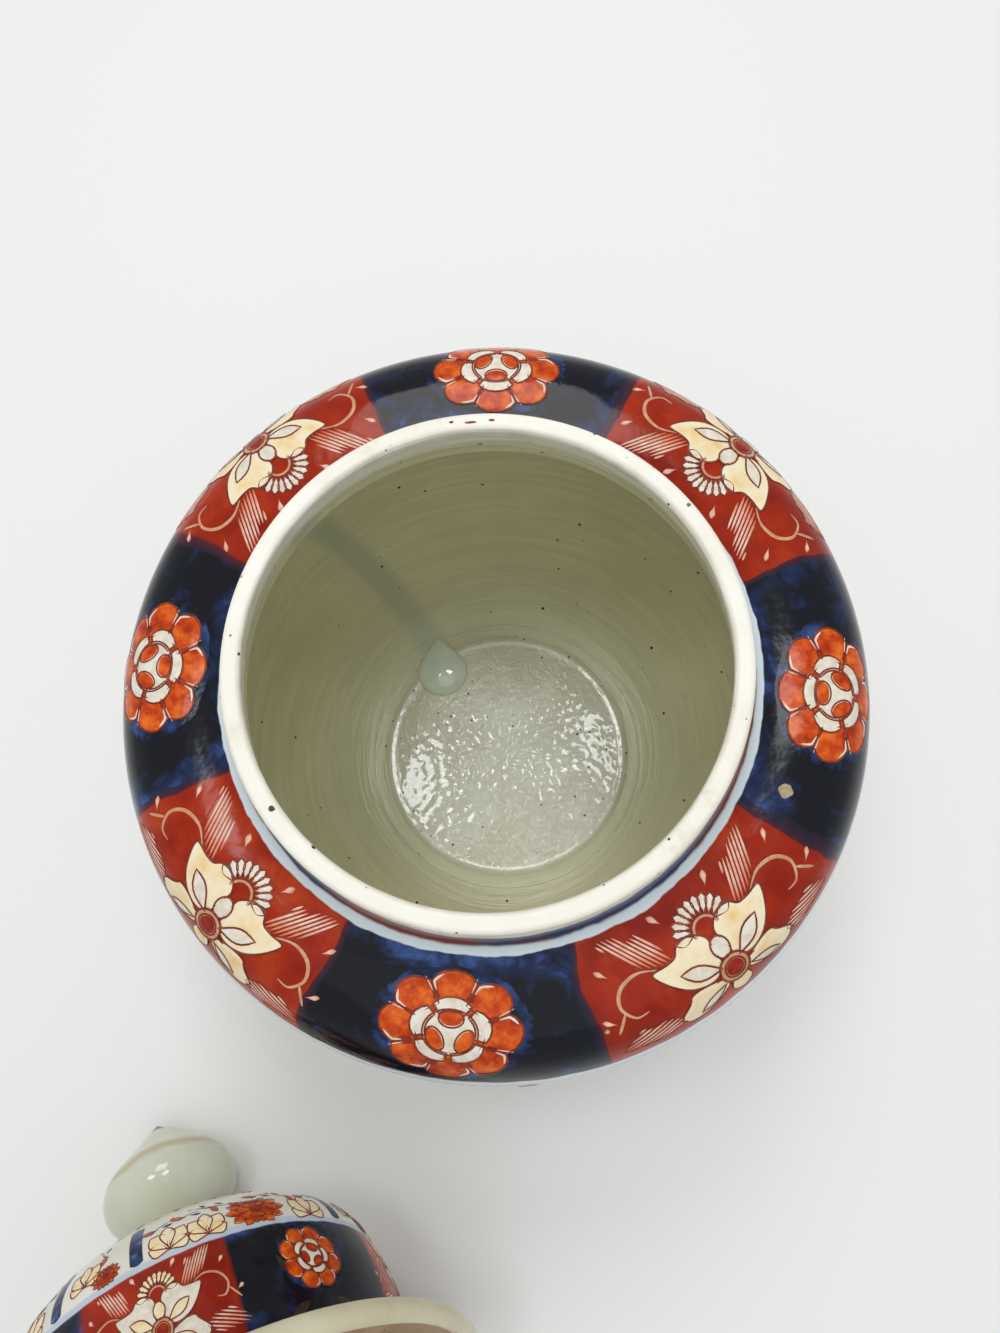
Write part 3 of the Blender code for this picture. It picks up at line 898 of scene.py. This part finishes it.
def on_jar(azimuth):
    """A brush on the jar's side, facing it at an azimuth in degrees."""
    return Brush(jar_enamels, wrapped(outer_trail, JAR_SEAT, azimuth))


red_middles, cobalt_middles = middles(PANEL_EDGES)
for azimuth in red_middles:
    flower_spray(on_jar(azimuth), "cream", "white", "white")
for azimuth in cobalt_middles:
    roundel(on_jar(azimuth), 0, 17.2, 16.2, 13.4)

# The body below the shoulder carries the same generic flowers and sprigs, wide apart on the
# white ground and repeated on each quarter, down to a row of petals above the foot border.
PEACH_BLOSSOMS = ((-82.0, 60, 27.0), (-129.0, 104, 25.0), (-90.0, 122, 20.0), (-130.0, 56, 20.0))
RED_BLOSSOMS = ((-106.0, 80, 38.0), (-62.0, 100, 30.0), (-62.0, 54, 17.0))
SPRIGS = (
    (-113, 50, 20, 8), (-97, 52, 150, 8), (-84, 84, 40, 10), (-73, 76, 130, 9), (-123, 84, 65, 10),
    (-110, 112, 30, 9), (-92, 102, 160, 9), (-76, 116, 20, 9), (-54, 76, 100, 9), (-49, 118, 40, 8),
    (-48, 58, 150, 8), (-104, 132, 10, 7), (-74, 134, 170, 7), (-123, 128, 60, 8),
)
for quarter in (0, 90, 180, 270):
    for azimuth, down, wide in RED_BLOSSOMS:
        red_chrysanthemum(on_jar(azimuth + quarter), down, wide, 0.86 * wide)
    for azimuth, down, wide in PEACH_BLOSSOMS:
        blossom(on_jar(azimuth + quarter), down, wide, 0.72 * wide)
    for azimuth, down, turn, size in SPRIGS:
        sprig(on_jar(azimuth + quarter), down, turn, size)
    for azimuth in range(-130, -45, 10):
        brush = on_jar(azimuth + quarter)
        brush.outlined("orange", petal(0, 149.0, -90, 5.0, 3.4, 0.5), 0.24, 0.08)
        brush.touch("blue", petal(4.8, 148.4, -90, 3.4, 1.8, 0.5), 0.07)

# Marks of use: a beige chip and two small ones in the cobalt, and red dabs on the far rim.
for azimuth, down, size in ((-32.2, 9.4, 1.8), (-81.5, 21.0, 0.6), (-13.0, 25.0, 0.7)):
    chip = []
    for i in range(18):
        a = math.radians(20 * i)
        chip.append((size * (1 + 0.10 * math.sin(0.9 * i)) * math.cos(a),
                     down + size * (1 + 0.12 * math.cos(1.4 * i)) * math.sin(a)))
    on_jar(azimuth).touch("clay", chip, 0.09)
rim_trail = trail([straight((mouth + RIM_EDGE, JAR_HEIGHT), (RIM_RADIUS - RIM_EDGE, JAR_HEIGHT))], 8)
for azimuth, across_rim, long in ((84.0, 0.5, 1.6), (79.0, 0.9, 0.8), (88.5, 1.1, 0.6)):
    brush = Brush(jar_enamels, wrapped(rim_trail, JAR_SEAT, azimuth))
    brush.touch("dab", oval(0, across_rim, long, 0.35), 0.10)
fire_all(jar_enamels, "jar_", "jar")

# The cover is thrown in one piece: a collar that drops inside the neck, a flange whose lip
# hides the rim, and a tall dome with panels round its side and a white band above them.
COVER_PLACE = Vector((-0.09990, -0.18520, 0.06646))
COVER_TURN, COVER_TILT = math.radians(114.6), math.radians(124.592)
COVER_SEAT = (Matrix.Translation(JAR_AXIS + COVER_PLACE)
              @ Matrix.Rotation(COVER_TURN, 4, "Z") @ Matrix.Rotation(COVER_TILT, 4, "Y"))
DOME_FOOT, DOME_SHOULDER, CROWN_HEIGHT = (0.0526, 0.005), (0.052, 0.0374), 0.066
DOME_WALL, CROWN_WALL, STEM_RADIUS, TENON_RADIUS = 0.0048, 0.006, 0.009, 0.006
SOCKET_RADIUS, SOCKET_FLOOR = 0.0063, 0.0637
FLANGE_RADIUS, FLANGE_EDGE, LIP_RADIUS = 0.0698, (0.0025, 0.0031), 0.066
COLLAR_RADIUS, COLLAR_WALL, COLLAR_DEPTH = 0.054, 0.0035, 0.009
DOME_BULGE = 0.0018


def dome_line(wall, crown_wall):
    """Side and top of the dome, up from the flange, at a depth inside its outer face."""
    foot = (DOME_FOOT[0] - wall, DOME_FOOT[1])
    shoulder = (DOME_SHOULDER[0] - wall, DOME_SHOULDER[1] - wall / 2)
    crown = (STEM_RADIUS, CROWN_HEIGHT - crown_wall)
    widest, rise = DOME_FOOT[0] + DOME_BULGE - wall, shoulder[1] - foot[1]
    wide, top = shoulder[0] - crown[0], crown[1] - shoulder[1]
    side = [foot, (widest, foot[1] + 0.4 * rise), (widest, foot[1] + 0.7 * rise), shoulder]
    near = (shoulder[0] - 0.02 * wide, shoulder[1] + 0.47 * top)
    return side, [shoulder, near, (crown[0] + 0.57 * wide, crown[1] - 0.15 * top), crown]


def oval_arc(centre, rx, rz, start, end):
    """A stretch of an oval between two angles in degrees."""
    a, b = math.radians(start), math.radians(end)
    k = 4 / 3 * math.tan((b - a) / 4)
    first = (centre[0] + rx * math.cos(a), centre[1] + rz * math.sin(a))
    last = (centre[0] + rx * math.cos(b), centre[1] + rz * math.sin(b))
    return [first, (first[0] - k * rx * math.sin(a), first[1] + k * rz * math.cos(a)),
            (last[0] + k * rx * math.sin(b), last[1] - k * rz * math.cos(b)), last]


outer_side, outer_top = dome_line(0, 0)
inner_line, inner_top = dome_line(DOME_WALL, CROWN_WALL)
edge_mid = (FLANGE_RADIUS - FLANGE_EDGE[0], DOME_FOOT[1] - FLANGE_EDGE[1])
edge_low = (edge_mid[0], edge_mid[1] - FLANGE_EDGE[1])
lip_turn = (edge_low[0] - 0.0001, edge_low[1])
collar_mid = (COLLAR_RADIUS - COLLAR_WALL / 2, COLLAR_WALL / 2 - COLLAR_DEPTH)
cover = thrown("cover_wall", [
    straight((0, SOCKET_FLOOR), (SOCKET_RADIUS, SOCKET_FLOOR)),
    straight((SOCKET_RADIUS, SOCKET_FLOOR), (SOCKET_RADIUS, CROWN_HEIGHT)),
    straight((SOCKET_RADIUS, CROWN_HEIGHT), outer_top[3]),
    outer_top[::-1],
    outer_side[::-1],
    straight(DOME_FOOT, (edge_mid[0], DOME_FOOT[1])),
    oval_arc(edge_mid, *FLANGE_EDGE, 90, 0),
    oval_arc(edge_mid, *FLANGE_EDGE, 0, -90),
    straight(edge_low, lip_turn),
    straight(lip_turn, (LIP_RADIUS, 0)),
    straight((LIP_RADIUS, 0), (COLLAR_RADIUS, 0)),
    straight((COLLAR_RADIUS, 0), (COLLAR_RADIUS, collar_mid[1])),
    oval_arc(collar_mid, COLLAR_WALL / 2, COLLAR_WALL / 2, 0, -90),
    oval_arc(collar_mid, COLLAR_WALL / 2, COLLAR_WALL / 2, -90, -180),
    straight((COLLAR_RADIUS - COLLAR_WALL, collar_mid[1]), inner_line[0]),
    inner_line,
    inner_top,
    straight(inner_top[3], (0, CROWN_HEIGHT - CROWN_WALL)),
], 20, 200)
cover.data.transform(COVER_SEAT)

# Skin of the cover: the same cobalt and iron red on the side of the dome, a pale blue ring
# where the side turns over, cream glaze on the flange and bare pinkish clay underneath.
COVER_EDGES = (-141.6, -92.4, -51.6, -2.4, 38.4, 87.6, 128.4, 177.6)
PANEL_BAND, BLUE_RING, FLANGE_TOP = (0.0062, 0.0368), (0.0366, 0.0386), (0.0058, 0.0062)
outside = Recipe("cover_glaze")
spot = outside.place(COVER_SEAT)
x, y, z = outside.parts(spot)
radius = outside.radius(x, y)
turns = turned_by(outside, x, y, COVER_EDGES)
near_top = outside.step(z, 0.0335, 0.0368)
cobalt = cobalt_wash(outside, spot, outside.either(edge_near(outside, turns, COVER_EDGES, 12.0), near_top))
panels = outside.mix(panel_share(outside, turns, COVER_EDGES, 0.6), red_wash(outside, spot), cobalt)
drift = outside.waver(spot, 160.0, 0.0010)
level = outside.plus(z, drift)
uneven = outside.step(outside.noise(spot, 45.0, 3.0), 0.35, 0.7)
ground = outside.mix(uneven, paint(0.72, 0.70, 0.62), paint(0.62, 0.60, 0.50))
blue_ring = outside.times(outside.band(level, *BLUE_RING, 0.0004), 0.8)
ground = outside.mix(blue_ring, ground, paint(0.42, 0.50, 0.62))
skin = outside.mix(outside.band(level, *PANEL_BAND, 0.0003), ground, panels)
flange_tone = outside.ramp(outside.noise(spot, 70.0, 4.0), (0.35, 0.60, 0.57, 0.42), (0.65, 0.52, 0.47, 0.31))
skin = outside.mix(outside.step(level, *FLANGE_TOP), flange_tone, skin)
buff = outside.ramp(outside.noise(spot, 60.0, 5.0, 0.65), (0.35, 0.38, 0.27, 0.17), (0.65, 0.27, 0.175, 0.10))
beyond_lip = outside.step(outside.plus(radius, drift), LIP_RADIUS - 0.0005, LIP_RADIUS - 0.0001)
under = outside.times(outside.rest_of(outside.step(z, 0.0001, 0.0004)), outside.rest_of(beyond_lip))
skin = outside.mix(under, skin, buff)
clay_specks = outside.times(under, outside.specks(spot, 420.0, 0.30, 0.22))
iron = outside.either(outside.specks(spot, 230.0, 0.05, 0.16), clay_specks)
skin = outside.mix(iron, skin, paint(0.09, 0.055, 0.03))
roughness = outside.plus(0.10, outside.times(under, 0.5))
outside.fire(skin, roughness, 0.22, outside.bump(outside.noise(spot, 120.0), 0.00010))
within = Recipe("cover_inner_glaze")
spot = within.place(COVER_SEAT)
skin = within.ramp(within.noise(spot, 30.0, 4.0), (0.35, 0.50, 0.50, 0.38), (0.62, 0.58, 0.57, 0.45))
skin = within.mix(within.specks(spot, 190.0, 0.10, 0.12), skin, paint(0.06, 0.04, 0.02))
within.fire(skin, 0.2, normal=within.bump(within.noise(spot, 240.0), 0.00008))
cover.data.materials.append(outside.material)
cover.data.materials.append(within.material)
FROM_SEAT = COVER_SEAT.inverted()
for face in cover.data.polygons:
    out = FROM_SEAT @ face.center
    along = FROM_SEAT.to_3x3() @ face.normal
    inward = out.xy.length < COLLAR_RADIUS - 0.001 and along.xy.dot(out.xy) < -0.0001
    face.material_index = 1 if inward or (along.z < -0.5 and 0.002 < out.z) else 0
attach(cover, "lid")
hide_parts("lid_cover")

# The same brush on the cover: smaller sprays and roundels on the panels of its side, with
# the colours of the sprays changed over, and gilt leaves that are almost worn off.
side_trail = trail([outer_side[::-1]], 80)
cover_enamels = pots()
red_middles, cobalt_middles = middles(COVER_EDGES)
for azimuth in red_middles:
    small = wrapped(side_trail, COVER_SEAT, azimuth, -0.5, 0.66, 0.80)
    flower_spray(Brush(cover_enamels, small), "white", "cream", "cream")
for azimuth in cobalt_middles:
    brush = Brush(cover_enamels, wrapped(side_trail, COVER_SEAT, azimuth))
    roundel(brush, -2.2, 11.6, 8.9, 8.9, 20)
    for side in (-1, 1):
        brush.touch("gilt", petal(-2.2 + 10.4 * side, 9.0, 90 + 30 * side, 9, 3.4, 0.5), 0.05)
        brush.touch("gilt", petal(-2.2 + 3 * side, 22.4, 90 - 62 * side, 9, 3.0, 0.5), 0.05)

# White band over the dome's shoulder: cobalt bars, peach blossoms, red chrysanthemums and
# small red and blue leaves, four times round, and a ring of leaves round the finial's foot.
BAND_BLOSSOMS = ((-156.4, 4.6, 11.0), (-145.6, 4.4, 10.6), (-113.0, 4.8, 11.5), (-181.6, 7.2, 9.6))
BAND_SPRIGS = ((-158.5, 10.6, 35), (-149.6, 11.2, 20), (-143.5, 12.6, 150), (-138.0, 11.4, 165),
               (-126.0, 12.4, 25), (-118.0, 11.6, 150), (-108.5, 11.2, 40), (-176.0, 12.4, 120))
top_trail = trail([outer_top[::-1]], 80)
TOP_LENGTH = top_trail[-1][0] / MM


def above(azimuth):
    """A brush on the band: mm to the right of an azimuth, mm up from the shoulder."""
    return Brush(cover_enamels, wrapped(top_trail, COVER_SEAT, azimuth, TOP_LENGTH, 1.0, -1.0))


for quarter in (0, 90, 180, 270):
    for azimuth in (-165.7, -191.5):
        bar = [(0, 1.2 + 0.6 * i) for i in range(27)]
        above(azimuth + quarter).stroke("blue", bar, 3.4, 0.14, taper=0.02)
    for azimuth, up, wide in BAND_BLOSSOMS:
        blossom(above(azimuth + quarter), up, wide, 0.74 * wide)
    red_chrysanthemum(above(-130.4 + quarter), 5.4, 16.5, 9.0)
    red_chrysanthemum(above(-174.8 + quarter), 3.6, 8.0, 5.6)
    for azimuth, up, turn in BAND_SPRIGS:
        sprig(above(azimuth + quarter), up, turn, 3.0)
    for azimuth in range(-175, -100, 15):
        above(azimuth + quarter).touch("blue", petal(0, 19.5, 90, 5.0, 2.4, 0.6), 0.06)
        above(azimuth + 7.5 + quarter).outlined("orange", petal(0, 21.0, 90, 5.6, 2.2), 0.20, 0.08)
fire_all(cover_enamels, "cover_", "lid")

# The finial is a pointed bulb on a short stem, glazed grey-green, with a faint brown ring
# where the glaze thins and a dark unglazed tip.
BULB_CENTRE, BULB_RADIUS, BULB_RISE, BULB_SPLIT, TIP_LIFT = 0.0845, 0.0204, 0.0137, -14, 0.0241
STEM_FOOT, TENON_LENGTH, TIP_RADIUS, TIP_ROUND = 0.0663, 0.002, 0.0006, 0.0003
BROWN_RING, THIN_GLAZE, BARE_TIP = (0.0872, 0.0902), (0.089, 0.096), (0.1040, 0.1054)
tip = BULB_CENTRE + TIP_LIFT
tenon_foot = STEM_FOOT - TENON_LENGTH
lean = math.degrees(math.asin(BULB_RISE / TIP_LIFT))
tuck = -math.degrees(math.acos(STEM_RADIUS / BULB_RADIUS))
upper_bulb = oval_arc((0, BULB_CENTRE), BULB_RADIUS, BULB_RISE, lean, BULB_SPLIT)
lower_bulb = oval_arc((0, BULB_CENTRE), BULB_RADIUS, BULB_RISE, BULB_SPLIT, tuck)
finial = thrown("finial_bulb", [
    straight((0, tip), (TIP_RADIUS, tip - TIP_ROUND)),
    straight((TIP_RADIUS, tip - TIP_ROUND), upper_bulb[0]),
    upper_bulb,
    lower_bulb,
    straight(lower_bulb[3], (STEM_RADIUS, STEM_FOOT)),
    straight((STEM_RADIUS, STEM_FOOT), (TENON_RADIUS, STEM_FOOT)),
    straight((TENON_RADIUS, STEM_FOOT), (TENON_RADIUS, tenon_foot)),
    straight((TENON_RADIUS, tenon_foot), (0, tenon_foot)),
], 16, 144)
finial.data.transform(COVER_SEAT)
bead = Recipe("finial_celadon")
spot = bead.place(COVER_SEAT)
_, _, z = bead.parts(spot)
skin = bead.ramp(bead.noise(spot, 40.0, 4.0), (0.35, 0.62, 0.63, 0.52), (0.65, 0.54, 0.56, 0.44))
tide = bead.plus(z, bead.waver(spot, 55.0, 0.006, 4.0, 0.6))
brown_ring = bead.times(bead.band(tide, *BROWN_RING, 0.0015), 0.7)
skin = bead.mix(brown_ring, skin, paint(0.40, 0.33, 0.18))
skin = bead.mix(bead.times(bead.step(tide, *THIN_GLAZE), 0.35), skin, paint(0.58, 0.52, 0.36))
skin = bead.mix(bead.step(z, *BARE_TIP), skin, paint(0.05, 0.022, 0.012))
skin = bead.mix(bead.specks(spot, 150.0, 0.06, 0.07), skin, paint(0.05, 0.035, 0.02))
bead.fire(skin, 0.10, normal=bead.bump(bead.noise(spot, 110.0), 0.00010))
finial.data.materials.append(bead.material)
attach(finial, "lid")
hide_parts("lid_finial")
